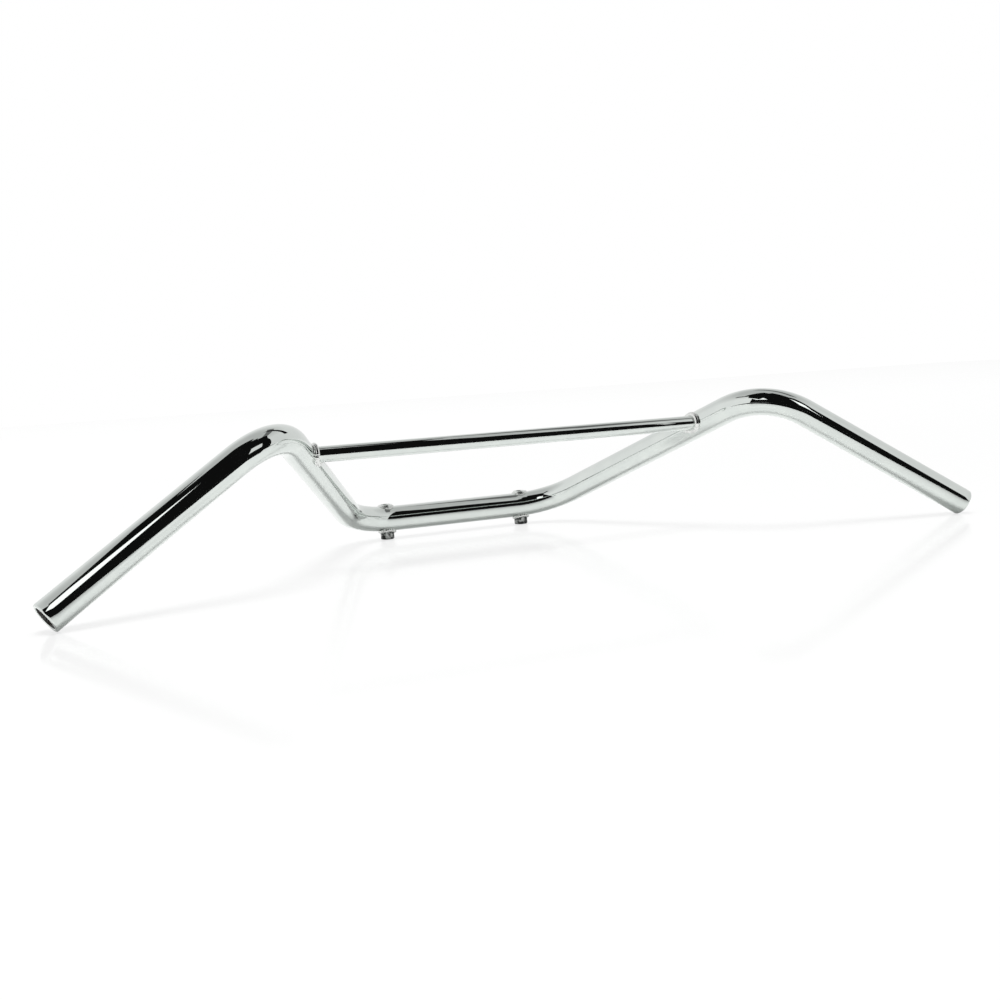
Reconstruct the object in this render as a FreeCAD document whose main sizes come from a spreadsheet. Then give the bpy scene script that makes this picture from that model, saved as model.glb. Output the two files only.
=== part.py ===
"""Moped handlebar: a bent tube, a cross brace welded between its uprights and two bolt sleeves.

Millimetres and degrees. The origin lies midway between the two sleeves, in the plane of their
seats. +Z stands square to that plane, +X runs along the base to the right-hand grip, and -Y is
the rider's side. The bar lies at rest on the seats of its sleeves and on the rims of its ends.
"""
import FreeCAD, Part
import math
import os
import Sketcher

Vector = FreeCAD.Vector
UP = Vector(0, 0, 1)
ALONG_BASE = Vector(1, 0, 0)
SIDES = (("left", -1), ("right", 1))
MATCH = 1e-3

# Alias, value and meaning of each driving dimension
DIMENSIONS = (
    ("tube_diameter", 22.0, "outside of the bent tube, which grips and levers slide on to"),
    ("tube_wall", 2.5, "wall of the bent tube"),
    ("bend_radius", 55.0, "centreline radius of all four bends"),
    ("base_width", 187.6, "between the corners where the base's axis meets the uprights' axes"),
    ("upright_length", 247.7, "from corner to corner along an upright's axis"),
    ("upright_splay", 25.1, "angle of an upright outwards, within the plane of the uprights"),
    ("upright_lean", 25.1, "angle between the plane of the uprights and the plane of the seats"),
    ("grip_length", 197.4, "from the upper corner to the open end of the tube"),
    ("grip_sweep", 15.4, "angle of a grip back towards the rider, seen from above"),
    ("end_chamfer", 1.2, "bevel around the outside of the tube's open ends"),
    ("brace_diameter", 12.0, "outside of the cross brace"),
    ("brace_wall", 1.5, "wall of the cross brace"),
    ("brace_reach", 184.0, "from the lower corner along an upright's axis to the brace's axis"),
    ("root_gap", 0.1, "gap at the root of a welded joint"),
    ("brace_bead", 2.8, "radius of the weld bead around an end of the brace"),
    ("sleeve_spacing", 130.0, "between the axes of the two sleeves"),
    ("sleeve_diameter", 12.0, "outside of a sleeve"),
    ("sleeve_bore", 8.4, "bore of a sleeve, for an 8 mm bolt"),
    ("sleeve_foot", 7.0, "length of a sleeve below the tube"),
    ("sleeve_head", 2.0, "length of a sleeve above the tube"),
    ("sleeve_chamfer", 1.0, "bevel around both ends of a sleeve"),
    ("lower_bead", 2.0, "radius of the weld bead around a sleeve below the tube"),
    ("upper_bead", 1.5, "radius of the weld bead around a sleeve above the tube"),
)


class Sizes:
    """The sheet's values by alias, with the points and directions that follow from them."""

    def __init__(self, sheet):
        for alias, _value, _meaning in DIMENSIONS:
            setattr(self, alias, float(sheet.get(alias)))
        self.tube_radius = self.tube_diameter / 2
        self.base_height = self.sleeve_foot + self.tube_radius
        self.sleeve_length = self.sleeve_foot + self.tube_diameter + self.sleeve_head

    def upright_direction(self, side):
        """Unit vector along an upright, from the lower corner to the upper one."""
        splay = math.radians(self.upright_splay)
        lean = math.radians(self.upright_lean)
        rise = math.cos(splay)
        return Vector(side * math.sin(splay), -rise * math.cos(lean), rise * math.sin(lean))

    def lower_corner(self, side):
        """Point where the base's axis meets an upright's axis."""
        return Vector(side * self.base_width / 2, 0, self.base_height)

    def upper_corner(self, side):
        """Point where an upright's axis meets a grip's axis."""
        return self.lower_corner(side) + self.upright_direction(side) * self.upright_length

    def grip_drop(self):
        """Angle of a grip below the horizontal that sets the rim of its end level with the seats."""
        reach = self.grip_length - self.end_chamfer
        slant = math.hypot(reach, self.tube_radius)
        return math.asin(self.upper_corner(1).z / slant) - math.atan(self.tube_radius / reach)

    def grip_end(self, side):
        """Centre of an open end of the tube."""
        drop = self.grip_drop()
        sweep = math.radians(self.grip_sweep)
        level = math.cos(drop)
        direction = Vector(side * level * math.cos(sweep), -level * math.sin(sweep), -math.sin(drop))
        return self.upper_corner(side) + direction * self.grip_length

    def brace_end(self, side):
        """Point where the brace's axis meets an upright's axis."""
        return self.lower_corner(side) + self.upright_direction(side) * self.brace_reach

    def sleeve_centre(self, side):
        """Point of a sleeve's axis at the height of the base's axis."""
        return Vector(side * self.sleeve_spacing / 2, 0, self.base_height)

    def seam_depth(self, diameter):
        """Mean distance from the tube's axis of the seam that a smaller rod makes with the tube."""
        return (self.tube_radius + math.sqrt(self.tube_radius ** 2 - (diameter / 2) ** 2)) / 2


def make_sheet(doc):
    """Spreadsheet of the driving dimensions, one row each."""
    sheet = doc.addObject("Spreadsheet::Sheet", "sizes")
    for row, (alias, value, meaning) in enumerate(DIMENSIONS, start=1):
        sheet.set(f"A{row}", alias)
        sheet.set(f"B{row}", str(value))
        sheet.setAlias(f"B{row}", alias)
        sheet.set(f"C{row}", meaning)
    doc.recompute()
    return sheet


def bend(before, corner, after, radius):
    """Arc of a radius that is tangent to both legs of a corner."""
    back = (before - corner).normalize()
    ahead = (after - corner).normalize()
    half_turn = (math.pi - back.getAngle(ahead)) / 2
    leg = radius * math.tan(half_turn)
    inward = (back + ahead).normalize()
    middle = corner + inward * (radius / math.cos(half_turn) - radius)
    return Part.Arc(corner + back * leg, middle, corner + ahead * leg)


def bar_path(doc, size):
    """Centreline of the bent tube, from left to right: straight runs joined by tangent arcs."""
    corners = [
        size.grip_end(-1), size.upper_corner(-1), size.lower_corner(-1),
        size.lower_corner(1), size.upper_corner(1), size.grip_end(1),
    ]
    edges = []
    run_start = corners[0]
    for before, corner, after in zip(corners, corners[1:], corners[2:]):
        arc = bend(before, corner, after, size.bend_radius)
        edges.append(Part.LineSegment(run_start, arc.StartPoint).toShape())
        edges.append(arc.toShape())
        run_start = arc.EndPoint
    edges.append(Part.LineSegment(run_start, corners[-1]).toShape())
    path = doc.addObject("Part::Feature", "bar_path")
    path.Shape = Part.Wire(edges)
    return path


def turned_to(direction):
    """Rotation that turns +Z into a direction."""
    return FreeCAD.Rotation(UP, direction)


def swept_round(doc, name, path, diameter):
    """Solid round of a diameter along a path."""
    first = path.Shape.Edges[0]
    start = first.valueAt(first.FirstParameter)
    section = doc.addObject("Part::Circle", f"{name}_section")
    section.setExpression("Radius", f"({diameter}) / 2")
    section.Placement = FreeCAD.Placement(start, turned_to(first.tangentAt(first.FirstParameter)))
    sweep = doc.addObject("Part::Sweep", name)
    sweep.Sections = [section]
    sweep.Spine = (path, [f"Edge{number}" for number in range(1, len(path.Shape.Edges) + 1)])
    sweep.Solid = True
    return sweep


def rod(doc, name, diameter, length, centre, direction):
    """Straight round of a diameter and a length about its centre."""
    cylinder = doc.addObject("Part::Cylinder", name)
    cylinder.setExpression("Radius", f"({diameter}) / 2")
    cylinder.setExpression("Height", length)
    doc.recompute()
    start = centre - direction * (cylinder.Height.Value / 2)
    cylinder.Placement = FreeCAD.Placement(start, turned_to(direction))
    return cylinder


def less(doc, name, base, tools):
    """Base object less each tool in turn. The last cut carries the name."""
    for number, tool in enumerate(tools, start=1):
        step_name = name if number == len(tools) else f"{name}_cut_{number}"
        step = doc.addObject("Part::Cut", step_name)
        step.Base = base
        step.Tool = tool
        base = step
    return base


def rim_numbers(shape, centres, radius):
    """Numbers of a shape's round edges of a radius about the given centres."""
    numbers = []
    for number, edge in enumerate(shape.Edges, start=1):
        curve = edge.Curve
        if not isinstance(curve, Part.Circle) or abs(curve.Radius - radius) > MATCH:
            continue
        if any(curve.Center.distanceToPoint(centre) < MATCH for centre in centres):
            numbers.append(number)
    return numbers


def sleeve_rod(doc, size, name, side, diameter):
    """Straight round on the axis of one sleeve, right through the base."""
    length = "2 * sizes.tube_diameter"
    return rod(doc, name, diameter, length, size.sleeve_centre(side), UP)


def handlebar_tube(doc, size, path, outside):
    """Bent tube with bevelled open ends and a hole right through its base for each sleeve."""
    doc.recompute()
    ends = [size.grip_end(side) for _name, side in SIDES]
    bevelled = doc.addObject("Part::Chamfer", "tube_bevelled")
    bevelled.Base = outside
    bevelled.Edges = [
        (number, size.end_chamfer, size.end_chamfer)
        for number in rim_numbers(outside.Shape, ends, size.tube_radius)
    ]
    removed = [swept_round(doc, "tube_bore", path, "sizes.tube_diameter - 2 * sizes.tube_wall")]
    hole_diameter = "sizes.sleeve_diameter + 2 * sizes.root_gap"
    for name, side in SIDES:
        removed.append(sleeve_rod(doc, size, f"{name}_sleeve_hole", side, hole_diameter))
    return less(doc, "handlebar_tube", bevelled, removed)


def brace_rod(doc, size, name, diameter):
    """Straight round along the brace, from one upright's axis to the other's."""
    length = "sizes.base_width + 2 * sizes.brace_reach * sin(sizes.upright_splay * 1 deg)"
    centre = (size.brace_end(-1) + size.brace_end(1)) / 2
    return rod(doc, name, diameter, length, centre, ALONG_BASE)


def cross_brace(doc, size, outside):
    """Straight tube between the uprights, with both ends coped to fit around them."""
    removed = [brace_rod(doc, size, "brace_bore", "sizes.brace_diameter - 2 * sizes.brace_wall")]
    cope_diameter = "sizes.tube_diameter + 2 * sizes.root_gap"
    cope_length = "2 * (sizes.brace_diameter + sizes.tube_diameter)"
    for name, side in SIDES:
        axis = size.upright_direction(side)
        cope = rod(doc, f"{name}_cope", cope_diameter, cope_length, size.brace_end(side), axis)
        removed.append(cope)
    return less(doc, "cross_brace", outside, removed)


def sleeve(doc, size, name, side):
    """Turned sleeve that stands through the base, with both ends bevelled."""
    body = doc.addObject("PartDesign::Body", f"{name}_sleeve")
    body.setExpression("Placement.Base.x", f"{side} * sizes.sleeve_spacing / 2")
    sketch = body.newObject("Sketcher::SketchObject", f"{name}_sleeve_section")
    planes = {plane.Role: plane for plane in body.Origin.OriginFeatures}
    sketch.AttachmentSupport = [(planes["XY_Plane"], "")]
    sketch.MapMode = "FlatFace"
    for alias in ("sleeve_diameter", "sleeve_bore"):
        diameter = getattr(size, alias)
        circle = sketch.addGeometry(Part.Circle(Vector(), UP, diameter / 2), False)
        sketch.addConstraint(Sketcher.Constraint("Coincident", circle, 3, -1, 1))
        number = sketch.addConstraint(Sketcher.Constraint("Diameter", circle, diameter))
        sketch.setExpression(f"Constraints[{number}]", f"sizes.{alias}")
    turned = body.newObject("PartDesign::Pad", f"{name}_sleeve_turned")
    turned.Profile = sketch
    turned.setExpression("Length", "sizes.sleeve_foot + sizes.tube_diameter + sizes.sleeve_head")
    doc.recompute()
    ends = (Vector(), Vector(0, 0, size.sleeve_length))
    rims = rim_numbers(turned.Shape, ends, size.sleeve_diameter / 2)
    bevelled = body.newObject("PartDesign::Chamfer", f"{name}_sleeve_bevelled")
    bevelled.Base = (turned, [f"Edge{number}" for number in rims])
    bevelled.setExpression("Size", "sizes.sleeve_chamfer")
    body.Tip = bevelled
    return body


def way_out(size, path, inside, direction):
    """Point where a line from inside the tube leaves it, and the tube's outward normal there."""
    near = 0
    far = 2 * size.tube_diameter
    while far - near > MATCH:
        middle = (near + far) / 2
        point = inside + direction * middle
        distance, closest, _info = path.Shape.distToShape(Part.Vertex(point))
        if distance < size.tube_radius:
            near = middle
        else:
            far = middle
    return point, (point - closest[0][0]).normalize()


def seam(size, path, inside, direction, diameter):
    """Placement of the middle of the seam that a rod of a diameter makes where it leaves the tube."""
    point, normal = way_out(size, path, inside, direction)
    sunk = size.tube_radius - size.seam_depth(diameter)
    centre = point - direction * (sunk / direction.dot(normal))
    return FreeCAD.Placement(centre, turned_to(normal))


def weld(doc, name, diameter, bead, placement, joined):
    """Bead around the seam of a rod with the tube: a ring less the rounds that it joins."""
    ring = doc.addObject("Part::Torus", f"{name}_ring")
    ring.setExpression("Radius1", f"sizes.{diameter} / 2")
    ring.setExpression("Radius2", f"sizes.{bead}")
    ring.Placement = placement
    return less(doc, name, ring, joined)


def build(doc):
    """All pieces of the handlebar, one object each."""
    size = Sizes(make_sheet(doc))
    path = bar_path(doc, size)
    tube_outside = swept_round(doc, "tube_outside", path, "sizes.tube_diameter")
    brace_outside = brace_rod(doc, size, "brace_outside", "sizes.brace_diameter")
    pieces = [handlebar_tube(doc, size, path, tube_outside), cross_brace(doc, size, brace_outside)]
    for name, side in SIDES:
        pieces.append(sleeve(doc, size, name, side))
        place = seam(size, path, size.brace_end(side), ALONG_BASE * -side, size.brace_diameter)
        joined = [brace_outside, tube_outside]
        bead = weld(doc, f"{name}_brace_weld", "brace_diameter", "brace_bead", place, joined)
        pieces.append(bead)
        sleeve_outside = sleeve_rod(
            doc, size, f"{name}_sleeve_outside", side, "sizes.sleeve_diameter",
        )
        joined = [sleeve_outside, tube_outside]
        for level, direction in (("lower", -UP), ("upper", UP)):
            place = seam(size, path, size.sleeve_centre(side), direction, size.sleeve_diameter)
            bead_name = f"{name}_sleeve_{level}_weld"
            bead = weld(doc, bead_name, "sleeve_diameter", f"{level}_bead", place, joined)
            pieces.append(bead)
    doc.recompute()
    return pieces


def check(doc, pieces):
    """Stop where an object failed, a piece is not one valid solid or two twins differ."""
    for obj in doc.Objects:
        if "Invalid" in obj.State or "Error" in obj.State:
            raise RuntimeError(f"{obj.Label} failed: {obj.State}")
    for piece in pieces:
        shape = piece.Shape
        if shape.isNull() or not shape.isValid() or len(shape.Solids) != 1:
            raise RuntimeError(f"{piece.Label} is not one valid solid")
    volumes = {piece.Label: piece.Shape.Volume for piece in pieces}
    for label, volume in volumes.items():
        twin = volumes.get(label.replace("left", "right"))
        if abs(volume - twin) > MATCH * volume:
            raise RuntimeError(f"{label} is {volume:.1f} mm3 and its twin is {twin:.1f} mm3")


def main():
    """Build, check and write the pieces."""
    doc = FreeCAD.newDocument("moped_handlebar")
    pieces = build(doc)
    check(doc, pieces)
    os.makedirs("parts", exist_ok=True)
    for piece in pieces:
        piece.Shape.exportStep(f"parts/{piece.Label}.step")
        print(f"{piece.Label}: {piece.Shape.Volume:.1f} mm3")


main()
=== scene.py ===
"""Looks of a moped handlebar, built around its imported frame.

A bent chrome tube, a cross brace, two bolt sleeves and their weld beads stand on a pale floor in
soft light. Lengths are metres in the frame of the CAD model: +X to the right-hand grip, -Y to the
rider, +Z up.
"""
import logging
import math
import random
from contextlib import contextmanager
from dataclasses import dataclass
from enum import Enum
from typing import Callable, Iterator

import bmesh
import bpy
from mathutils import Matrix, Vector
from mathutils.bvhtree import BVHTree


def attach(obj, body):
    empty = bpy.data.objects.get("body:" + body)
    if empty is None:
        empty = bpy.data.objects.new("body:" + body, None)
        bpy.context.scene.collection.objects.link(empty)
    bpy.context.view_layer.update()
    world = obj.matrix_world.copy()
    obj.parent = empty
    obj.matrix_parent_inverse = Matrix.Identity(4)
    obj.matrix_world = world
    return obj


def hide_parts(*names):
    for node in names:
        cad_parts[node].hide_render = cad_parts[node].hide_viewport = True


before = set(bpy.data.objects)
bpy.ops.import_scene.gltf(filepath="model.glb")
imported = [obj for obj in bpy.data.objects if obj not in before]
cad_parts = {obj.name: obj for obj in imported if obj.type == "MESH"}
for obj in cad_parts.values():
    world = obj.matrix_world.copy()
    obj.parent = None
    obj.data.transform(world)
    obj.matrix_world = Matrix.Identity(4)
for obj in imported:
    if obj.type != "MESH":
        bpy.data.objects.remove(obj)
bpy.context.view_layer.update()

LOG = logging.getLogger("handlebar")
MM = 0.001
BODY = "root"
UP = Vector((0, 0, 1))
ALONG_BASE = Vector((1, 0, 0))
CREASE = math.radians(32)
NEAR = 0.05 * MM  # how far off a rim a point may be and still count as on it
MERGE = 0.001 * MM  # points closer than this become one
FLAT = 0.9  # Z of a normal from which its face counts as level
BEVEL_SEGMENTS = 3
BRACE_BEAD, BRACE_LOBES = 2.8 * MM, 34
LOWER_BEAD, LOWER_LOBES = 2 * MM, 20
UPPER_BEAD, UPPER_LOBES = 1.1 * MM, 34

Socket = bpy.types.NodeSocket
Triple = tuple[float, float, float]
Range = tuple[float, float]

NONE_TO_ALL: Range = (0.0, 1.0)
LEFT_TO_RIGHT: Range = (-1.0, 1.0)
METAL = 1.0
WHITE = (1, 1, 1, 1)
PLAIN_WHITE = 1.0  # strength at which a white background is white
MIX_LOW, MIX_HIGH, MIX_RESULT = 6, 7, 2  # sockets of a Mix node that mixes colours
WAVE_RATE = 20  # radians in a metre of a Wave node at a scale of 1


class Slot(Enum):
    """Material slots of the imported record."""

    TUBE = "tube_chrome"
    BRACE = "brace_chrome"
    SLEEVE = "sleeve_chrome"
    WELD = "weld_chrome"


class Arithmetic(Enum):
    """Operations on two values in a node tree."""

    ADD = "ADD"
    MULTIPLY = "MULTIPLY"
    MAXIMUM = "MAXIMUM"


class Side(Enum):
    """Sides of the bar, each with the sign of its X."""

    LEFT = -1
    RIGHT = 1

    @property
    def word(self) -> str:
        """The side as the CAD nodes spell it."""
        return self.name.lower()


class Level(Enum):
    """Sides of the base that a sleeve leaves it by, each with the sign of its Z."""

    LOWER = -1
    UPPER = 1

    @property
    def word(self) -> str:
        """The level as the CAD nodes spell it."""
        return self.name.lower()

    @property
    def bead(self) -> float:
        """Radius of the weld bead on this side."""
        return LOWER_BEAD if self is Level.LOWER else UPPER_BEAD

    @property
    def lobes(self) -> int:
        """Lobes of the weld bead on this side."""
        return LOWER_LOBES if self is Level.LOWER else UPPER_LOBES


def deselect_all() -> None:
    """Leave every object unselected, the CAD nodes among them."""
    bpy.ops.object.select_all(action="DESELECT")


def make_active(piece: bpy.types.Object) -> None:
    """Select one piece alone and make it the active one.

    Args:
        piece: The object that the next operators act on.
    """
    deselect_all()
    piece.select_set(True)
    bpy.context.view_layer.objects.active = piece


def settle(piece: bpy.types.Object) -> None:
    """Move a piece's place, turn and scale into its mesh.

    Args:
        piece: The object to leave at the origin.
    """
    make_active(piece)
    bpy.ops.object.transform_apply(location=True, rotation=True, scale=True)


def apply_modifier(piece: bpy.types.Object, kind: str, **settings: object) -> None:
    """Add a modifier to a piece and apply it at once.

    Args:
        piece: The object to change.
        kind: Blender's name of the modifier's type.
        settings: Values of the modifier's properties.
    """
    make_active(piece)
    modifier = piece.modifiers.new(kind.lower(), kind)
    for name, value in settings.items():
        setattr(modifier, name, value)
    bpy.ops.object.modifier_apply(modifier=modifier.name)


@contextmanager
def editing(piece: bpy.types.Object) -> Iterator[None]:
    """Edit mode of one piece, with all of its mesh selected at first.

    Args:
        piece: The object to edit.

    Yields:
        Nothing, while the piece is in edit mode.
    """
    make_active(piece)
    bpy.ops.object.mode_set(mode="EDIT")
    bpy.ops.mesh.select_mode(type="EDGE")
    bpy.ops.mesh.select_all(action="SELECT")
    yield
    bpy.ops.object.mode_set(mode="OBJECT")


def pick_edges(piece: bpy.types.Object, wanted: Callable[[bmesh.types.BMEdge], bool]) -> None:
    """Select the edges of a piece in edit mode that pass a test.

    Args:
        piece: The object in edit mode.
        wanted: The test of an edge.
    """
    bpy.ops.mesh.select_mode(type="EDGE")
    bpy.ops.mesh.select_all(action="DESELECT")
    mesh = bmesh.from_edit_mesh(piece.data)
    for edge in mesh.edges:
        if wanted(edge):
            edge.select_set(True)
    mesh.select_flush_mode()
    bmesh.update_edit_mesh(piece.data)


def pick_faces(piece: bpy.types.Object, wanted: Callable[[bmesh.types.BMFace], bool]) -> None:
    """Select the faces of a piece in edit mode that pass a test.

    Args:
        piece: The object in edit mode.
        wanted: The test of a face.
    """
    bpy.ops.mesh.select_mode(type="FACE")
    bpy.ops.mesh.select_all(action="DESELECT")
    mesh = bmesh.from_edit_mesh(piece.data)
    for face in mesh.faces:
        if wanted(face):
            face.select_set(True)
    mesh.select_flush_mode()
    bmesh.update_edit_mesh(piece.data)


def smooth(piece: bpy.types.Object) -> None:
    """Shade a piece smooth, apart from its sharp edges.

    Args:
        piece: The object to shade.
    """
    make_active(piece)
    bpy.ops.object.shade_smooth_by_angle(angle=CREASE)


def turned_to(direction: Vector) -> Triple:
    """Euler angles that turn +Z into a direction.

    Args:
        direction: The direction to turn to.

    Returns:
        The angles about X, Y and Z.
    """
    return tuple(UP.rotation_difference(direction).to_euler())


def hand_in(piece: bpy.types.Object, node: str) -> None:
    """Let a finished piece stand for its CAD node, and report it.

    Args:
        piece: The finished object.
        node: The CAD node that it stands for.
    """
    piece.name = f"{node}_look"
    piece.data.name = piece.name
    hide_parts(node)
    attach(piece, BODY)
    LOG.info("%s: %d faces", piece.name, len(piece.data.polygons))


class NodeBoard:
    """Node tree of one material or of the world, with short calls to add and join nodes."""

    def __init__(self, owner: bpy.types.Material | bpy.types.World) -> None:
        """Clear the owner's tree.

        Args:
            owner: The material or world whose nodes are laid out.
        """
        owner.use_nodes = True
        self.tree = owner.node_tree
        self.tree.nodes.clear()

    def add(
        self, kind: str, values: dict[str, object] | None = None, **settings: object,
    ) -> bpy.types.Node:
        """Add a node.

        Args:
            kind: The node's type, without the ShaderNode prefix.
            values: Socket names with a value, or with the output socket that feeds them.
            settings: Values of the node's own properties.

        Returns:
            The new node.
        """
        node = self.tree.nodes.new(f"ShaderNode{kind}")
        for name, value in settings.items():
            setattr(node, name, value)
        for name, value in (values or {}).items():
            if isinstance(value, Socket):
                self.tree.links.new(value, node.inputs[name])
            else:
                node.inputs[name].default_value = value
        return node

    def noise(self, coords: Socket, scale: float, detail: float = 2.0) -> Socket:
        """Add a noise pattern.

        Args:
            coords: The coordinates that it reads.
            scale: Lumps of the noise in a metre.
            detail: Finer layers of the noise.

        Returns:
            The noise from 0 to 1.
        """
        values = {"Vector": coords, "Scale": scale, "Detail": detail}
        return self.add("TexNoise", values).outputs["Fac"]

    def spread(self, value: Socket, source: Range, target: Range) -> Socket:
        """Map a range of a value to another range.

        Args:
            value: The value to map.
            source: The range that it is read over.
            target: The range that comes out.

        Returns:
            The mapped value.
        """
        node = self.add("MapRange", {
            "Value": value, "From Min": source[0], "From Max": source[1],
            "To Min": target[0], "To Max": target[1],
        })
        return node.outputs["Result"]

    def blend(self, share: Socket, low: Triple, high: Triple | Socket) -> Socket:
        """Mix two colours by a value.

        Args:
            share: The share of the second colour.
            low: The colour at 0.
            high: The colour at 1, or the socket that gives it.

        Returns:
            The mixed colour.
        """
        node = self.add("Mix", data_type="RGBA")
        self.tree.links.new(share, node.inputs["Factor"])
        node.inputs[MIX_LOW].default_value = (*low, 1)
        if isinstance(high, tuple):
            node.inputs[MIX_HIGH].default_value = (*high, 1)
        else:
            self.tree.links.new(high, node.inputs[MIX_HIGH])
        return node.outputs[MIX_RESULT]

    def bump(
        self, height: Socket, strength: float, depth: float, under: Socket | None = None,
    ) -> Socket:
        """Add a bump to the surface.

        Args:
            height: The pattern of the bump.
            strength: How much of it shows.
            depth: Its depth in metres.
            under: The normal that it adds to.

        Returns:
            The new normal.
        """
        values = {"Height": height, "Strength": strength, "Distance": depth}
        if under is not None:
            values["Normal"] = under
        return self.add("Bump", values).outputs["Normal"]

    def combine(self, how: Arithmetic, first: Socket, second: Socket) -> Socket:
        """Work out one value from two.

        Args:
            how: The operation.
            first: One value.
            second: The other one.

        Returns:
            The result.
        """
        node = self.add("Math", operation=how.value)
        self.tree.links.new(first, node.inputs[0])
        self.tree.links.new(second, node.inputs[1])
        return node.outputs["Value"]

    def shader(self, kind: str, values: dict[str, object] | None = None) -> Socket:
        """Place a shader node.

        Args:
            kind: The kind of node.
            values: Values or sockets for its inputs, by name.

        Returns:
            The shader.
        """
        return self.add(kind, values).outputs[0]

    def mix(self, share: Socket, first: Socket, second: Socket) -> Socket:
        """Mix two shaders by a value.

        Args:
            share: The share of the second shader.
            first: The shader at 0.
            second: The shader at 1.

        Returns:
            The mixed shader.
        """
        node = self.add("MixShader", {"Fac": share})
        self.tree.links.new(first, node.inputs[1])
        self.tree.links.new(second, node.inputs[2])
        return node.outputs["Shader"]

    def seen(self, direct: float, mirrored: float) -> Socket:
        """A value for what the camera sees, and 0 for the light that falls on things.

        Args:
            direct: The value where the camera sees it straight.
            mirrored: The value where it is seen in a reflection or through something clear.

        Returns:
            The value.
        """
        rays = self.add("LightPath").outputs
        total = self.spread(rays["Is Camera Ray"], NONE_TO_ALL, (0, direct))
        for name in ("Is Glossy Ray", "Is Transmission Ray"):
            share = self.spread(rays[name], NONE_TO_ALL, (0, mirrored))
            total = self.combine(Arithmetic.MAXIMUM, total, share)
        return total

    def surface(self, values: dict[str, object]) -> None:
        """Finish the material with a principled shader.

        Args:
            values: Its socket names with their values or the sockets that feed them.
        """
        shader = self.add("BsdfPrincipled", values)
        self.add("OutputMaterial", {"Surface": shader.outputs["BSDF"]})


@dataclass(frozen=True)
class ChromeFinish:
    """Bright chrome plate over polished steel: faint waves, fine grain and a little haze."""

    name: str
    bright: Triple = (0.665, 0.700, 0.678)
    hazed: Triple = (0.705, 0.740, 0.712)
    roughness: Range = (0.015, 0.06)
    wave_scale: float = 24.0
    wave_depth: float = 0.05 * MM
    wave_detail: float = 1.0
    wave_strength: float = 0.5
    haze_scale: float = 70.0
    haze_detail: float = 4.0
    haze_range: Range = (0.45, 0.75)
    grain_scale: float = 2400.0
    grain_depth: float = 0.004 * MM
    grain_strength: float = 0.2

    def material(self) -> bpy.types.Material:
        """Lay out the finish as nodes.

        Returns:
            The material.
        """
        made = bpy.data.materials.new(self.name)
        board = NodeBoard(made)
        coords = board.add("TexCoord").outputs["Object"]
        haze = board.noise(coords, self.haze_scale, self.haze_detail)
        share = board.spread(haze, self.haze_range, NONE_TO_ALL)
        waves = board.noise(coords, self.wave_scale, self.wave_detail)
        waved = board.bump(waves, self.wave_strength, self.wave_depth)
        grain = board.noise(coords, self.grain_scale)
        board.surface({
            "Base Color": board.blend(share, self.bright, self.hazed),
            "Metallic": METAL,
            "Roughness": board.spread(share, NONE_TO_ALL, self.roughness),
            "Normal": board.bump(grain, self.grain_strength, self.grain_depth, waved),
        })
        return made


@dataclass(frozen=True)
class BeadFinish:
    """Chrome plate over a weld bead: bright, but as uneven as the bead was left."""

    name: str = "bead_chrome"
    bright: Triple = (0.78, 0.79, 0.775)
    pitted: Triple = (0.62, 0.63, 0.615)
    roughness: Range = (0.16, 0.30)
    lump_scale: float = 420.0
    lump_strength: float = 0.35
    lump_depth: float = 0.10 * MM
    pit_scale: float = 1500.0
    pit_detail: float = 3.0
    pit_range: Range = (0.52, 0.72)
    pit_strength: float = 0.25
    pit_depth: float = 0.03 * MM

    def material(self) -> bpy.types.Material:
        """Lay out the finish as nodes.

        Returns:
            The material.
        """
        made = bpy.data.materials.new(self.name)
        board = NodeBoard(made)
        coords = board.add("TexCoord").outputs["Object"]
        pits = board.noise(coords, self.pit_scale, self.pit_detail)
        share = board.spread(pits, self.pit_range, NONE_TO_ALL)
        lumps = board.noise(coords, self.lump_scale)
        lumpy = board.bump(lumps, self.lump_strength, self.lump_depth)
        board.surface({
            "Base Color": board.blend(share, self.bright, self.pitted),
            "Metallic": METAL,
            "Roughness": board.spread(share, NONE_TO_ALL, self.roughness),
            "Normal": board.bump(pits, self.pit_strength, self.pit_depth, lumpy),
        })
        return made


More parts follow.
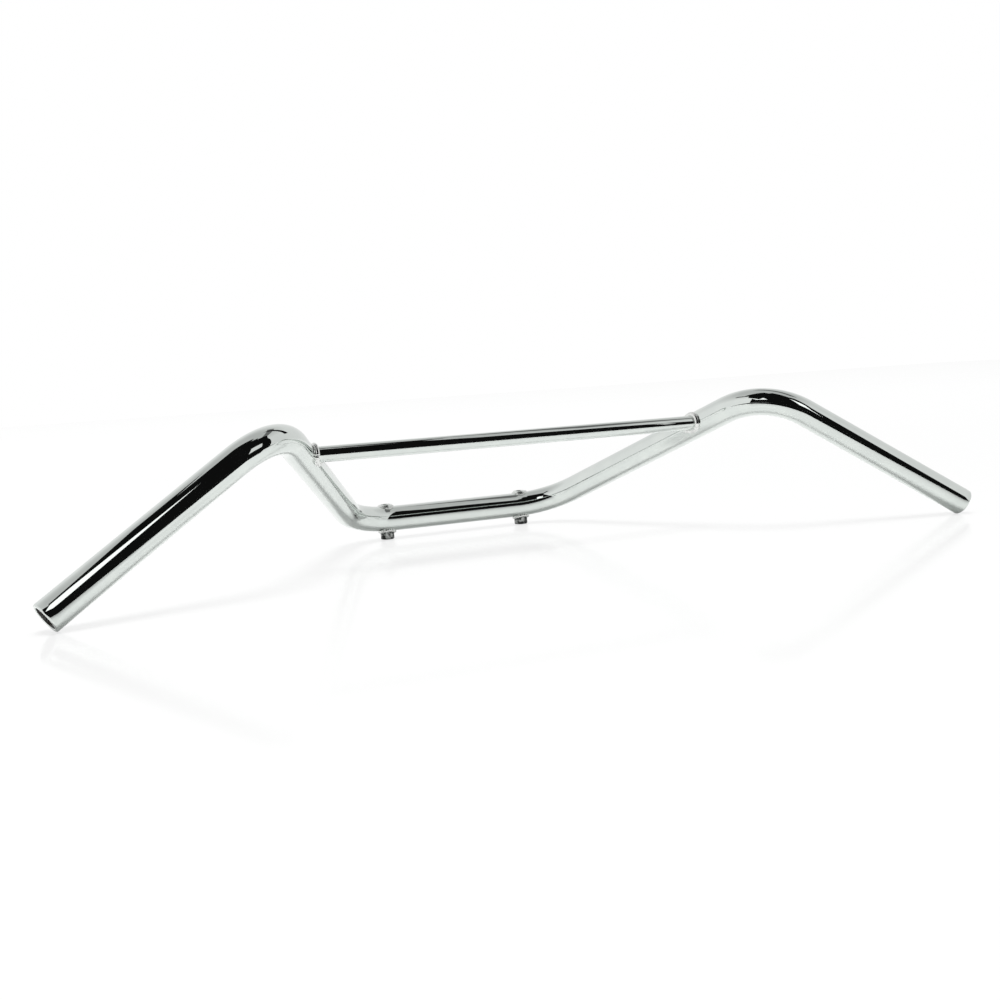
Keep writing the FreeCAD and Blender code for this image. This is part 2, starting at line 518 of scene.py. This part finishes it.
@dataclass(frozen=True)
class TurnedFinish:
    """Chrome plate over a turned sleeve: the rings that the lathe left, and painted shade on its
    foot.
    """

    name: str
    axis_x: float
    bright: Triple = (0.76, 0.79, 0.765)
    # Painted shade: the next two tones, mottled by noise, darken the sleeve towards the floor and
    # stand in for the contact shadow mirrored in it.
    shade_grey: Triple = (0.42, 0.43, 0.42)
    shade_black: Triple = (0.035, 0.037, 0.036)
    stain_and_shade_scale: float = 210.0
    stain_and_shade_range: Range = (0.47, 0.60)
    roughness: Range = (0.26, 0.16)
    painted_shade: Range = (6 * MM, 11 * MM)
    shade_edge: float = 7 * MM
    ring_pitch: float = 0.35 * MM
    ring_wobble: float = 0.4
    ring_detail: float = 1.0
    ring_strength: float = 0.15
    ring_depth: float = 0.01 * MM
    shade_edge_scale: float = 260.0
    shade_edge_detail: float = 3.0

    def material(self) -> bpy.types.Material:
        """Lay out the finish as nodes.

        Returns:
            The material.
        """
        made = bpy.data.materials.new(self.name)
        board = NodeBoard(made)
        coords = board.add("TexCoord").outputs["Object"]
        centred = board.add("Mapping", {"Vector": coords, "Location": (-self.axis_x, 0, 0)})
        rings = {
            "Vector": centred.outputs["Vector"],
            "Scale": 2 * math.pi / (WAVE_RATE * self.ring_pitch),
            "Distortion": self.ring_wobble,
            "Detail": self.ring_detail,
        }
        along = board.add("TexWave", rings, wave_type="BANDS", bands_direction="Z").outputs["Fac"]
        across = board.add("TexWave", rings, wave_type="RINGS", rings_direction="Z").outputs["Fac"]
        # Painted shade: below a wandering edge the sleeve turns from bright plate to a dark, mottled
        # tone towards the floor, and grows glossier there.
        shade_edge_noise = board.noise(coords, self.shade_edge_scale, self.shade_edge_detail)
        shift = board.spread(shade_edge_noise, NONE_TO_ALL, (-self.shade_edge / 2, self.shade_edge / 2))
        level = board.add("SeparateXYZ", {"Vector": coords}).outputs["Z"]
        painted_shade = board.spread(board.combine(Arithmetic.ADD, level, shift), self.painted_shade, (1.0, 0.0))
        stain_and_shade = board.spread(board.noise(coords, self.stain_and_shade_scale), self.stain_and_shade_range, NONE_TO_ALL)
        foot = board.blend(stain_and_shade, self.shade_black, self.shade_grey)
        turned = board.bump(along, self.ring_strength, self.ring_depth)
        board.surface({
            "Base Color": board.blend(painted_shade, self.bright, foot),
            "Metallic": METAL,
            "Roughness": board.spread(painted_shade, NONE_TO_ALL, self.roughness),
            "Normal": board.bump(across, self.ring_strength, self.ring_depth, turned),
        })
        return made


@dataclass(frozen=True)
class BoreFinish:
    """Inside of the tube: drawn steel that the plating hardly reached, dull and a little stained."""

    name: str = "bore_steel"
    steel: Triple = (0.20, 0.205, 0.205)
    stain_and_shade: Triple = (0.085, 0.068, 0.055)
    roughness: Range = (0.38, 0.68)
    metallic: float = 0.85
    stain_and_shade_scale: float = 160.0
    stain_detail: float = 5.0
    stain_and_shade_range: Range = (0.4, 0.68)
    drawn_scale: float = 900.0
    drawn_detail: float = 4.0
    drawn_strength: float = 0.4
    drawn_depth: float = 0.05 * MM

    def material(self) -> bpy.types.Material:
        """Lay out the finish as nodes.

        Returns:
            The material.
        """
        made = bpy.data.materials.new(self.name)
        board = NodeBoard(made)
        coords = board.add("TexCoord").outputs["Object"]
        stains = board.noise(coords, self.stain_and_shade_scale, self.stain_detail)
        share = board.spread(stains, self.stain_and_shade_range, NONE_TO_ALL)
        drawn = board.noise(coords, self.drawn_scale, self.drawn_detail)
        board.surface({
            "Base Color": board.blend(share, self.steel, self.stain_and_shade),
            "Metallic": self.metallic,
            "Roughness": board.spread(share, NONE_TO_ALL, self.roughness),
            "Normal": board.bump(drawn, self.drawn_strength, self.drawn_depth),
        })
        return made


@dataclass(frozen=True)
class Bend:
    """One bend of the tube: the point and the axis that it turns about, clockwise, and how far."""

    start: Vector
    end: Vector
    centre: Vector
    axis: Vector
    angle: float


@dataclass(frozen=True)
class BarLine:
    """Centreline of the bent tube, with the sizes that the CAD model is driven by."""

    tube_radius: float = 11 * MM
    bend_radius: float = 55 * MM
    base_width: float = 187.6 * MM
    base_height: float = 18 * MM
    upright_length: float = 247.7 * MM
    upright_splay: float = math.radians(25.1)
    upright_lean: float = math.radians(25.1)
    grip_length: float = 197.4 * MM
    grip_sweep: float = math.radians(15.4)
    end_chamfer: float = 1.2 * MM
    brace_reach: float = 184 * MM

    def upright_direction(self, side: Side) -> Vector:
        """Unit vector along an upright, from the base upwards.

        Args:
            side: The upright's side.

        Returns:
            The vector.
        """
        rise = math.cos(self.upright_splay)
        return Vector((
            side.value * math.sin(self.upright_splay),
            -rise * math.cos(self.upright_lean),
            rise * math.sin(self.upright_lean),
        ))

    def lower_corner(self, side: Side) -> Vector:
        """Point where the base's axis meets an upright's axis."""
        return Vector((side.value * self.base_width / 2, 0, self.base_height))

    def upper_corner(self, side: Side) -> Vector:
        """Point where an upright's axis meets a grip's axis."""
        return self.lower_corner(side) + self.upright_direction(side) * self.upright_length

    def brace_end(self, side: Side) -> Vector:
        """Point where the brace's axis meets an upright's axis."""
        return self.lower_corner(side) + self.upright_direction(side) * self.brace_reach

    def grip_end(self, side: Side) -> Vector:
        """Centre of an open end of the tube, which rests with its rim on the floor.

        Args:
            side: The end's side.

        Returns:
            The centre.
        """
        reach = self.grip_length - self.end_chamfer
        slant = math.hypot(reach, self.tube_radius)
        drop = math.asin(self.upper_corner(side).z / slant) - math.atan(self.tube_radius / reach)
        level = math.cos(drop)
        direction = Vector((
            side.value * level * math.cos(self.grip_sweep),
            -level * math.sin(self.grip_sweep),
            -math.sin(drop),
        ))
        return self.upper_corner(side) + direction * self.grip_length

    def corners(self) -> list[Vector]:
        """Ends of the centreline, and the points that the axes of its straight runs meet in.

        Returns:
            The points, from the left end to the right one.
        """
        left, right = Side.LEFT, Side.RIGHT
        return [
            self.grip_end(left), self.upper_corner(left), self.lower_corner(left),
            self.lower_corner(right), self.upper_corner(right), self.grip_end(right),
        ]

    def bends(self) -> list[Bend]:
        """Bends where the straight runs meet.

        Returns:
            The four bends, from the left end to the right one.
        """
        corners = self.corners()
        made = []
        for before, corner, after in zip(corners, corners[1:], corners[2:]):
            back = (before - corner).normalized()
            ahead = (after - corner).normalized()
            turn = math.pi - back.angle(ahead)
            leg = self.bend_radius * math.tan(turn / 2)
            centre = corner + (back + ahead).normalized() * (self.bend_radius / math.cos(turn / 2))
            axis = back.cross(ahead).normalized()
            made.append(Bend(corner + back * leg, corner + ahead * leg, centre, axis, turn))
        return made


@dataclass
class HandlebarTube:
    """The bent tube: one round skin along the whole line, with a wall and finished ends."""

    line: BarLine
    wall: float = 2.5 * MM
    inner_bevel: float = 0.8 * MM
    ring_points: int = 96
    bend_steps: int = 40
    run_step: float = 6 * MM

    def build(self) -> bpy.types.Object:
        """Model the tube.

        Returns:
            The finished tube.
        """
        tube = self.skin()
        self.dress(tube)
        self.give_wall(tube)
        self.finish_ends(tube)
        smooth(tube)
        hand_in(tube, "handlebar_tube")
        return tube

    def skin(self) -> bpy.types.Object:
        """Draw a ring along the line: extruded on the straight runs and spun round the bends.

        Returns:
            The outside of the tube, open at both ends.
        """
        corners = self.line.corners()
        start = corners[0]
        deselect_all()
        bpy.ops.mesh.primitive_circle_add(
            vertices=self.ring_points, radius=self.line.tube_radius, location=start,
            rotation=turned_to((corners[1] - start).normalized()),
        )
        tube = bpy.context.object
        settle(tube)
        with editing(tube):
            for bend in self.line.bends():
                self.run(start, bend.start)
                bpy.ops.mesh.spin(
                    steps=self.bend_steps, angle=bend.angle, center=bend.centre, axis=bend.axis,
                )
                start = bend.end
            self.run(start, corners[-1])
            bpy.ops.mesh.select_all(action="SELECT")
            bpy.ops.mesh.remove_doubles(threshold=MERGE)
            bpy.ops.mesh.normals_make_consistent(inside=False)
        return tube

    def run(self, start: Vector, end: Vector) -> None:
        """Extrude the selected ring along a straight run.

        Args:
            start: The point where the run starts.
            end: The point where it ends.
        """
        steps = max(1, round((end - start).length / self.run_step))
        step = (end - start) / steps
        for _ in range(steps):
            bpy.ops.mesh.extrude_region_move(TRANSFORM_OT_translate={"value": step})

    def dress(self, tube: bpy.types.Object) -> None:
        """Give the tube chrome for its outside and, as its second material, steel for its inside.

        Args:
            tube: The outside of the tube.
        """
        for finish in (ChromeFinish("tube_chrome_plate"), BoreFinish()):
            tube.data.materials.append(finish.material())

    def give_wall(self, tube: bpy.types.Object) -> None:
        """Thicken the skin inwards. The inside takes the second material.

        Args:
            tube: The outside of the tube.
        """
        apply_modifier(
            tube, "SOLIDIFY", thickness=self.wall, offset=-1.0, use_even_offset=True,
            material_offset=1, material_offset_rim=0,
        )

    def finish_ends(self, tube: bpy.types.Object) -> None:
        """Bevel the rims of both open ends.

        Args:
            tube: The tube with its wall.
        """
        radius = self.line.tube_radius
        rims = ((radius, self.line.end_chamfer), (radius - self.wall, self.inner_bevel))
        with editing(tube):
            for rim_radius, width in rims:
                for side in Side:
                    self.bevel_rim(tube, side, rim_radius, width)

    def bevel_rim(
        self, tube: bpy.types.Object, side: Side, rim_radius: float, width: float,
    ) -> None:
        """Bevel one round edge of an open end.

        Args:
            tube: The tube in edit mode.
            side: The end.
            rim_radius: The radius of the edge.
            width: The width of the bevel.
        """
        centre = self.line.grip_end(side)
        along = (self.line.upper_corner(side) - centre).normalized()

        def on_rim(edge: bmesh.types.BMEdge) -> bool:
            """Test an edge.

            Args:
                edge: The edge.

            Returns:
                True for an edge of the rim.
            """
            spokes = [vert.co - centre for vert in edge.verts]
            return all(
                abs(spoke.dot(along)) < NEAR and abs(spoke.length - rim_radius) < NEAR
                for spoke in spokes
            )

        pick_edges(tube, on_rim)
        bpy.ops.mesh.bevel(offset=width, segments=BEVEL_SEGMENTS, affect="EDGES")


@dataclass
class CrossBrace:
    """The thinner tube between the uprights, coped to them at both ends."""

    line: BarLine
    radius: float = 6 * MM
    root_gap: float = 0.1 * MM
    cutter_length: float = 48 * MM
    points: int = 72
    finish: ChromeFinish = ChromeFinish("brace_chrome_plate", wave_scale=30.0)

    def build(self) -> bpy.types.Object:
        """Model the brace.

        Returns:
            The finished brace.
        """
        left, right = (self.line.brace_end(side) for side in Side)
        deselect_all()
        bpy.ops.mesh.primitive_cylinder_add(
            vertices=self.points, radius=self.radius, depth=(right - left).length,
            location=(left + right) / 2, rotation=turned_to(ALONG_BASE),
        )
        brace = bpy.context.object
        settle(brace)
        for side in Side:
            self.cope(brace, side)
        brace.data.materials.append(self.finish.material())
        smooth(brace)
        hand_in(brace, "cross_brace")
        return brace

    def cope(self, brace: bpy.types.Object, side: Side) -> None:
        """Cut an end of the brace to the round of its upright.

        Args:
            brace: The brace.
            side: The end to cut.
        """
        deselect_all()
        bpy.ops.mesh.primitive_cylinder_add(
            vertices=2 * self.points, radius=self.line.tube_radius + self.root_gap,
            depth=self.cutter_length, location=self.line.brace_end(side),
            rotation=turned_to(self.line.upright_direction(side)),
        )
        cutter = bpy.context.object
        apply_modifier(brace, "BOOLEAN", operation="DIFFERENCE", solver="EXACT", object=cutter)
        bpy.data.objects.remove(cutter)


@dataclass
class BoltSleeve:
    """A turned sleeve through the base, with a bore for the fork's bolt."""

    side: Side
    spacing: float = 130 * MM
    radius: float = 6 * MM
    bore_radius: float = 4.2 * MM
    height: float = 31 * MM
    bevel: float = 1 * MM
    bore_bevel: float = 0.3 * MM
    points: int = 72

    @property
    def axis_x(self) -> float:
        """X of the sleeve's axis."""
        return self.side.value * self.spacing / 2

    def build(self) -> bpy.types.Object:
        """Model the sleeve.

        Returns:
            The finished sleeve.
        """
        deselect_all()
        bpy.ops.mesh.primitive_cylinder_add(
            vertices=self.points, radius=self.radius, depth=self.height,
            location=(self.axis_x, 0, self.height / 2),
        )
        sleeve = bpy.context.object
        settle(sleeve)
        with editing(sleeve):
            pick_faces(sleeve, lambda face: abs(face.normal.z) > FLAT)
            bpy.ops.mesh.inset(thickness=self.radius - self.bore_radius)
            bpy.ops.mesh.bridge_edge_loops()
            self.bevel_rims(sleeve, self.radius, self.bevel)
            self.bevel_rims(sleeve, self.bore_radius, self.bore_bevel)
        finish = TurnedFinish(f"{self.side.word}_sleeve_plate", self.axis_x)
        sleeve.data.materials.append(finish.material())
        smooth(sleeve)
        hand_in(sleeve, f"{self.side.word}_sleeve")
        return sleeve

    def bevel_rims(self, sleeve: bpy.types.Object, rim_radius: float, width: float) -> None:
        """Bevel the round edges of a radius at both ends.

        Args:
            sleeve: The sleeve in edit mode.
            rim_radius: The radius of the edges.
            width: The width of the bevel.
        """

        def on_rim(edge: bmesh.types.BMEdge) -> bool:
            """Test an edge.

            Args:
                edge: The edge.

            Returns:
                True for an edge of either rim.
            """
            first, second = (vert.co for vert in edge.verts)
            level = abs(first.z - second.z) < NEAR
            at_end = min(first.z, self.height - first.z) < NEAR
            return level and at_end and all(
                abs(math.hypot(place.x - self.axis_x, place.y) - rim_radius) < NEAR
                for place in (first, second)
            )

        pick_edges(sleeve, on_rim)
        bpy.ops.mesh.bevel(offset=width, segments=BEVEL_SEGMENTS, affect="EDGES")


@dataclass
class WeldBead:
    """A weld bead around a rod that leaves the tube: lobes along the seam, run together."""

    node: str
    inside: Vector
    outwards: Vector
    rod_radius: float
    bead_radius: float
    lobes: int
    seed: int
    lift: float = 0.3
    unevenness: float = 0.06
    start_radii: float = 6.0
    lobe_segments: int = 20
    lobe_rings: int = 12
    voxel: float = 0.2 * MM
    smoothing: float = 0.5
    smoothing_rounds: int = 6

    def build(self, skin: BVHTree, plate: bpy.types.Material) -> bpy.types.Object:
        """Model the bead.

        Args:
            skin: The tube that the rod leaves.
            plate: The finish of the beads.

        Returns:
            The finished bead.
        """
        draws = random.Random(self.seed)
        lobes = [self.lobe(place, draws) for place in self.seam(skin)]
        deselect_all()
        for lobe in lobes:
            lobe.select_set(True)
        bead = lobes[0]
        bpy.context.view_layer.objects.active = bead
        bpy.ops.object.join()
        settle(bead)
        apply_modifier(bead, "REMESH", mode="VOXEL", voxel_size=self.voxel, use_smooth_shade=True)
        apply_modifier(bead, "SMOOTH", factor=self.smoothing, iterations=self.smoothing_rounds)
        bead.data.materials.append(plate)
        smooth(bead)
        hand_in(bead, self.node)
        return bead

    def seam(self, skin: BVHTree) -> list[Vector]:
        """Points along the seam, lifted a little out of the corner.

        Args:
            skin: The tube that the rod leaves.

        Returns:
            The centres of the lobes.
        """
        aside = self.outwards.orthogonal().normalized()
        across = self.outwards.cross(aside)
        far = self.start_radii * self.rod_radius
        places = []
        for number in range(self.lobes):
            turn = 2 * math.pi * number / self.lobes
            radial = aside * math.cos(turn) + across * math.sin(turn)
            start = self.inside + radial * self.rod_radius + self.outwards * far
            hit, normal, _face, _distance = skin.ray_cast(start, -self.outwards)
            corner = (radial + normal).normalized()
            places.append(hit + corner * self.bead_radius * self.lift)
        return places

    def lobe(self, place: Vector, draws: random.Random) -> bpy.types.Object:
        """Add one lobe of the bead.

        Args:
            place: Its centre.
            draws: The source of its unevenness.

        Returns:
            The lobe.
        """
        deselect_all()
        size = self.bead_radius * (1 - self.lift / 2) * (1 + draws.uniform(-1, 1) * self.unevenness)
        bpy.ops.mesh.primitive_uv_sphere_add(
            segments=self.lobe_segments, ring_count=self.lobe_rings, radius=size, location=place,
        )
        return bpy.context.object


@dataclass(frozen=True)
class StudioCard:
    """A dark or bright studio card, seen only in reflections and from the side that it faces."""

    name: str
    centre: Triple
    faces: Triple
    top: Triple
    width: float
    height: float
    brightness: float

    def build(self) -> None:
        """Put up the card."""
        centre = Vector(self.centre)
        front = (Vector(self.faces) - centre).normalized()
        top = Vector(self.top)
        top = (top - front * top.dot(front)).normalized()
        turn = Matrix((top.cross(front), top, front)).transposed()
        deselect_all()
        bpy.ops.mesh.primitive_plane_add(size=1, location=centre, rotation=turn.to_euler())
        card = bpy.context.object
        card.name = self.name
        card.scale = (self.width, self.height, 1)
        settle(card)
        made = bpy.data.materials.new(self.name)
        board = NodeBoard(made)
        behind = board.add("NewGeometry").outputs["Backfacing"]
        glow = board.shader("Emission", {"Strength": self.brightness})
        clear = board.shader("BsdfTransparent")
        board.add("OutputMaterial", {"Surface": board.mix(behind, glow, clear)})
        card.data.materials.append(made)
        card.visible_camera = False
        card.visible_diffuse = False
        card.visible_shadow = False


LEFT_GRIP = (-0.30, -0.235, 0.05)
LEFT_BEND = (-0.215, -0.210, 0.10)
BRACE_MIDDLE = (0, -0.150, 0.088)
STRAIGHT_UP = (0, 0, 1)
TO_BACK = (0, 1, 0)
DARK, DIM, BRIGHT = 0.006, 0.18, 1.5
CARDS: tuple[StudioCard, ...] = (
    StudioCard(
        "front_flag", centre=(-0.90, -2.54, 1.91), faces=(-0.90, 0, 1.91), top=STRAIGHT_UP,
        width=5.45, height=4.69, brightness=DARK,
    ),
    StudioCard(
        "floor_flag", centre=(0.32, -1.44, 0.002), faces=(0.32, -1.44, 1), top=TO_BACK,
        width=3.37, height=1.93, brightness=DARK,
    ),
    StudioCard(
        "canopy", centre=(-0.323, -1.278, 1.325), faces=(-0.323, -1.278, 0), top=TO_BACK,
        width=0.93, height=2.03, brightness=DARK,
    ),
    StudioCard(
        "canopy_wing", centre=(0.42, -1.25, 1.15), faces=(0.42, -1.25, 0), top=(-0.379, 0.925, 0),
        width=0.42, height=1.75, brightness=DARK,
    ),
    StudioCard(
        "upper_flag", centre=(-0.032, -0.342, 0.335), faces=(-0.432, 0.308, -0.31), top=STRAIGHT_UP,
        width=0.21, height=0.19, brightness=DARK,
    ),
    StudioCard(
        "bend_post", centre=(-0.030, -0.290, 0.215), faces=(-0.830, 0.310, 0.215), top=STRAIGHT_UP,
        width=0.055, height=0.25, brightness=DARK,
    ),
    StudioCard(
        "bend_sill", centre=(-0.058, -0.343, 0.096), faces=LEFT_BEND, top=STRAIGHT_UP,
        width=0.13, height=0.095, brightness=DARK,
    ),
    StudioCard(
        "bend_rim", centre=(-0.080, -0.149, 0.240), faces=(-0.613, 0.569, -0.206), top=(-0.4, 0, 0.9),
        width=0.05, height=0.15, brightness=DARK,
    ),
    StudioCard(
        "bend_window", centre=(0.2715, -0.378, 0.185), faces=(0.352, -0.321, 0.185), top=STRAIGHT_UP,
        width=0.14, height=0.088, brightness=BRIGHT,
    ),
    StudioCard(
        "key_panel", centre=(-0.407, -0.708, 0.546), faces=LEFT_GRIP, top=STRAIGHT_UP,
        width=0.25, height=0.31, brightness=BRIGHT,
    ),
    StudioCard(
        "left_beam", centre=(-0.681, -0.145, 1.25), faces=(-0.681, -0.145, 0), top=TO_BACK,
        width=0.16, height=0.35, brightness=DARK,
    ),
    StudioCard(
        "right_beam", centre=(0.95, 0.10, 1.86), faces=BRACE_MIDDLE, top=STRAIGHT_UP,
        width=1.60, height=0.34, brightness=DIM,
    ),
)


@dataclass
class Studio:
    """Floor, light and camera."""

    floor_size: float = 16.0
    floor_colour: Triple = (0.93, 0.935, 0.93)
    floor_white: float = 0.70
    floor_white_mirrored: float = 0.10
    floor_roughness: float = 0.10
    floor_gloss: float = 0.5
    fill: float = 0.58
    lamp_strength: float = 2.0
    lamp_softness: float = math.radians(27)
    lamp_height: float = 2.0
    side_glow: Range = (1.06, 0.90)
    high_sky: Range = (0.55, 0.92)
    high_glow: Range = (0.95, 0.62)
    film_width: float = 36.0
    nearest_seen: float = 0.01
    lens: float = 43.208
    eye: Triple = (-0.37537, -1.01992, 0.13803)
    heading: float = math.radians(22.415)
    pitch: float = math.radians(-5.900)
    roll: float = math.radians(-3.633)

    def build(self) -> None:
        """Set up the studio."""
        bpy.context.scene.view_settings.view_transform = "Standard"
        self.lay_floor()
        self.light_world()
        self.hang_lamp()
        for card in CARDS:
            card.build()
        self.set_camera()

    def lay_floor(self) -> None:
        """Lay the pale floor."""
        deselect_all()
        bpy.ops.mesh.primitive_plane_add(size=self.floor_size)
        floor = bpy.context.object
        floor.name = "floor"
        made = bpy.data.materials.new("pale_floor")
        board = NodeBoard(made)
        lit = board.shader("BsdfPrincipled", {
            "Base Color": (*self.floor_colour, 1),
            "Roughness": self.floor_roughness,
            "Specular IOR Level": self.floor_gloss,
        })
        white = board.shader("Emission", {"Strength": PLAIN_WHITE})
        share = board.seen(self.floor_white, self.floor_white_mirrored)
        board.add("OutputMaterial", {"Surface": board.mix(share, lit, white)})
        floor.data.materials.append(made)

    def light_world(self) -> None:
        """Light the studio evenly. Metal mirrors a graded world, and the camera sees white."""
        world = bpy.data.worlds.new("studio")
        bpy.context.scene.world = world
        board = NodeBoard(world)
        direction = board.add("TexCoord").outputs["Generated"]
        parts = board.add("SeparateXYZ", {"Vector": direction}).outputs
        sides = board.spread(parts["X"], LEFT_TO_RIGHT, self.side_glow)
        height = board.spread(parts["Z"], self.high_sky, self.high_glow)
        graded = board.combine(Arithmetic.MULTIPLY, sides, height)
        mirrored, even, white = (
            board.shader("Background", {"Color": WHITE, "Strength": strength})
            for strength in (graded, self.fill, PLAIN_WHITE)
        )
        rays = board.add("LightPath").outputs
        around = board.mix(rays["Is Glossy Ray"], even, mirrored)
        board.add("OutputWorld", {"Surface": board.mix(rays["Is Camera Ray"], around, white)})

    def hang_lamp(self) -> None:
        """Hang a soft lamp straight above."""
        deselect_all()
        bpy.ops.object.light_add(type="SUN", location=(0, 0, self.lamp_height))
        lamp = bpy.context.object
        lamp.name = "soft_lamp"
        lamp.data.energy = self.lamp_strength
        lamp.data.angle = self.lamp_softness
        lamp.visible_glossy = False

    def set_camera(self) -> None:
        """Stand the camera where the photograph was taken from."""
        ahead = Vector((
            math.sin(self.heading) * math.cos(self.pitch),
            math.cos(self.heading) * math.cos(self.pitch),
            math.sin(self.pitch),
        ))
        level = ahead.cross(UP).normalized()
        above = level.cross(ahead)
        right = level * math.cos(self.roll) + above * math.sin(self.roll)
        turn = Matrix((right, right.cross(ahead), -ahead)).transposed()
        deselect_all()
        bpy.ops.object.camera_add(location=self.eye, rotation=turn.to_euler())
        camera = bpy.context.object
        camera.data.sensor_width = self.film_width
        camera.data.lens = self.lens
        camera.data.clip_start = self.nearest_seen
        bpy.context.scene.camera = camera


def beads(line: BarLine, brace: CrossBrace, sleeves: list[BoltSleeve]) -> list[WeldBead]:
    """All weld beads of the bar.

    Args:
        line: The centreline of the tube.
        brace: The cross brace.
        sleeves: The two sleeves.

    Returns:
        The beads, not yet built.
    """
    made = []
    for seed, sleeve in enumerate(sleeves, start=1):
        side = sleeve.side
        made.append(WeldBead(
            f"{side.word}_brace_weld", inside=line.brace_end(side),
            outwards=ALONG_BASE * -side.value, rod_radius=brace.radius,
            bead_radius=BRACE_BEAD, lobes=BRACE_LOBES, seed=seed,
        ))
        for level in Level:
            centre = Vector((sleeve.axis_x, 0, line.base_height))
            made.append(WeldBead(
                f"{side.word}_sleeve_{level.word}_weld", inside=centre,
                outwards=UP * level.value, rod_radius=sleeve.radius,
                bead_radius=level.bead, lobes=level.lobes, seed=10 * seed + level.value,
            ))
    return made


def main() -> None:
    """Build the pieces in order, then the studio around them."""
    logging.basicConfig(level=logging.INFO, format="%(message)s")
    line = BarLine()
    tube = HandlebarTube(line).build()
    brace = CrossBrace(line)
    brace.build()
    sleeves = [BoltSleeve(side) for side in Side]
    for sleeve in sleeves:
        sleeve.build()
    skin = BVHTree.FromObject(tube, bpy.context.evaluated_depsgraph_get())
    plate = BeadFinish().material()
    for bead in beads(line, brace, sleeves):
        bead.build(skin, plate)
    Studio().build()


if __name__ == "__main__":
    main()
